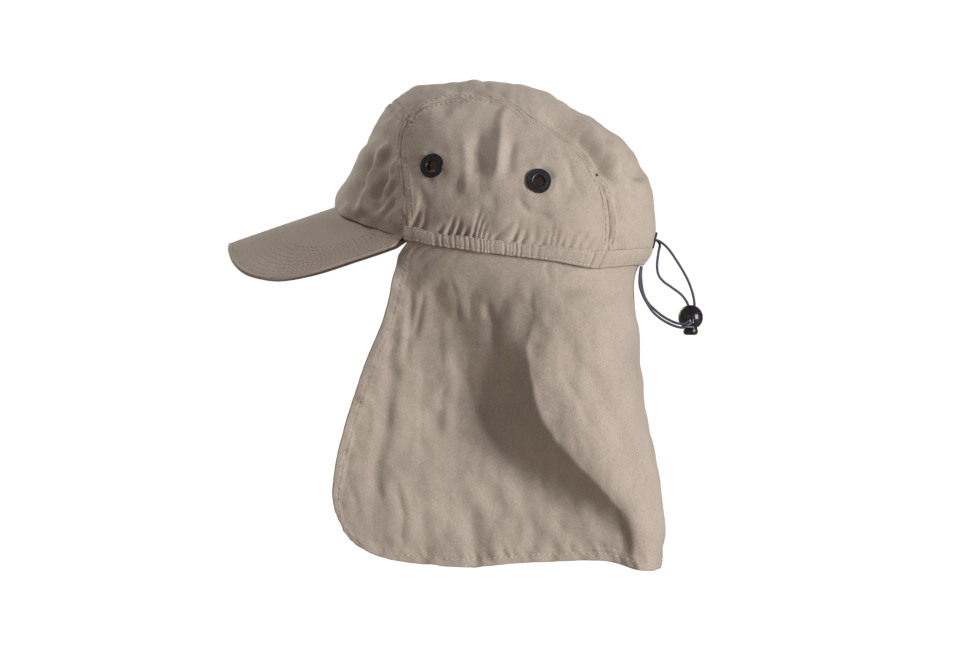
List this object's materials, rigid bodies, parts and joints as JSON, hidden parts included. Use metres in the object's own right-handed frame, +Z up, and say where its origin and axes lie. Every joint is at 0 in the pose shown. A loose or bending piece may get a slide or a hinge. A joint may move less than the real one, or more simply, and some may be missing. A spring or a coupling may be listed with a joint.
{
  "type": "legionnaire cap",
  "caption": "Soft-crowned cloth sun cap with a curved peak, a gathered rim band, vent eyelets, a long neck flap and an elastic drawcord with a push-button ball lock.",
  "frame": {"origin": "middle of the head opening, at the height of the rim, where the cap rests on a head", "axes": "+Z up through the crown; -X towards the peak and +X towards the back of the head; -Y towards the wearer's left ear"},
  "size_m": [0.2936, 0.1622, 0.3028],
  "materials": {
    "cloth": "matte",
    "band_cloth": "matte",
    "eyelet": "satin",
    "elastic": "matte",
    "lock_plastic": "gloss"
  },
  "bodies": {
    "cap": {"front_panel": "cloth", "top_panel": "cloth", "side_panel_left": "cloth", "side_panel_right": "cloth", "peak": "cloth", "neck_flap": "cloth", "band": "band_cloth", "vent_eyelet_left_front": "eyelet", "vent_eyelet_left_back": "eyelet", "vent_eyelet_right_front": "eyelet", "vent_eyelet_right_back": "eyelet", "cord_eyelet": "eyelet", "cord_outer": "elastic", "cord_inner": "elastic", "lock_ball": "lock_plastic"},
    "plunger": {"lock_plunger": "lock_plastic"}
  },
  "joints": [
    {"name": "plunger_press", "type": "slide", "parent": "cap", "child": "plunger", "axis": [0, 0, 1], "range_m": [0, 0.0025], "stiffness_N_per_m": 300, "springref_m": -0.005}
  ]
}
